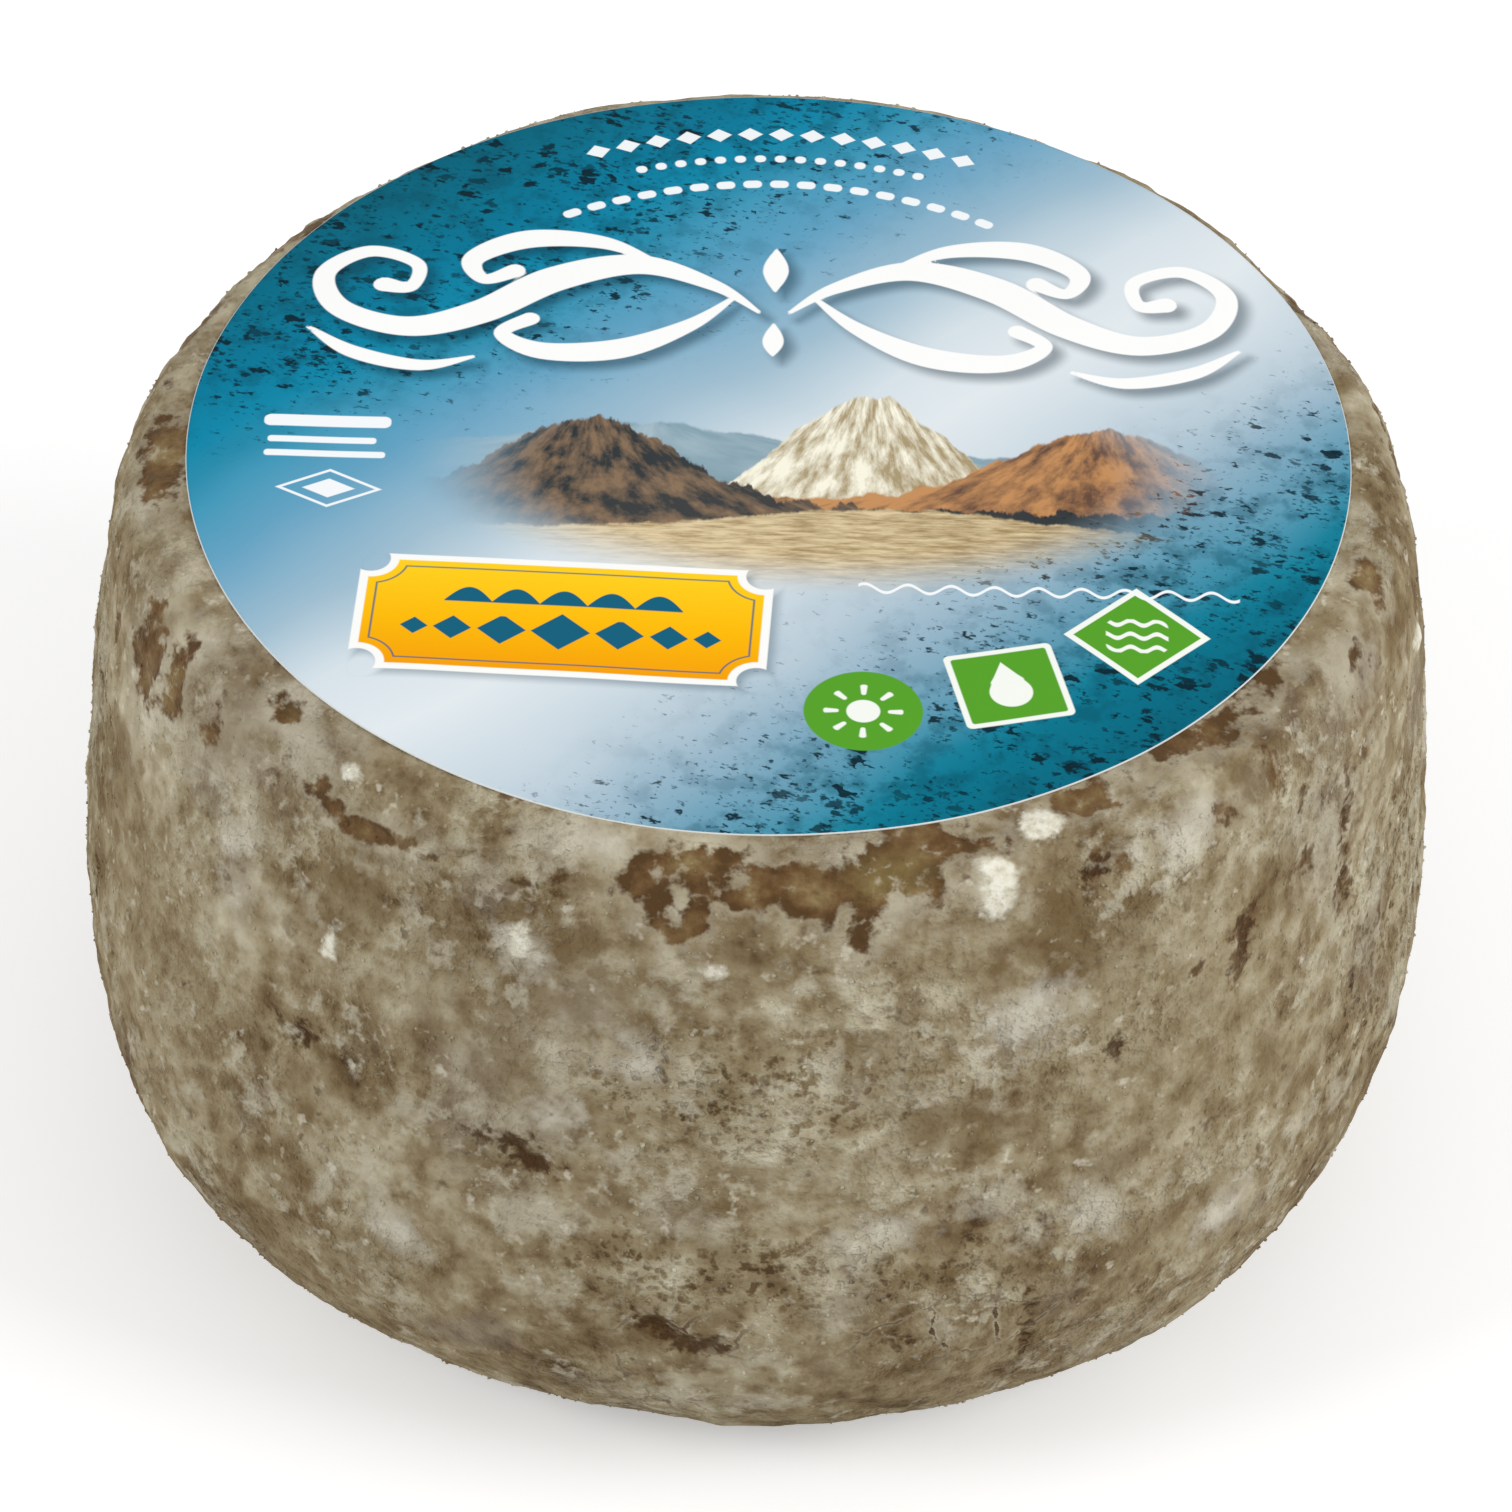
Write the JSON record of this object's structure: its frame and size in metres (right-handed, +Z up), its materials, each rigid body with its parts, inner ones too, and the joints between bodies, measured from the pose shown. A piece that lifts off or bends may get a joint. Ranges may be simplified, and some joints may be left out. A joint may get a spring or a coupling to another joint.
{
  "type": "blue goat cheese wheel",
  "caption": "Whole ripened blue goat cheese: an uneven drum with a grey-brown mould rind, rounded edges and a round blue paper label on its top.",
  "frame": {"origin": "on the surface the wheel rests on, under the middle of its bounding box", "axes": "+Z up through the wheel towards the label; -Y is the front, the side below the label's lower edge; +X is to the right as seen from the front"},
  "size_m": [0.18, 0.18, 0.1097],
  "materials": {
    "mould_rind": "natural grey-brown mould rind, dry and velvety, with bare brown patches near the top edge",
    "printed_paper": "coated label paper, printed teal to white with dark flecks"
  },
  "bodies": {
    "root": {"cheese_wheel": "mould_rind", "paper_label": "printed_paper"}
  },
  "joints": []
}
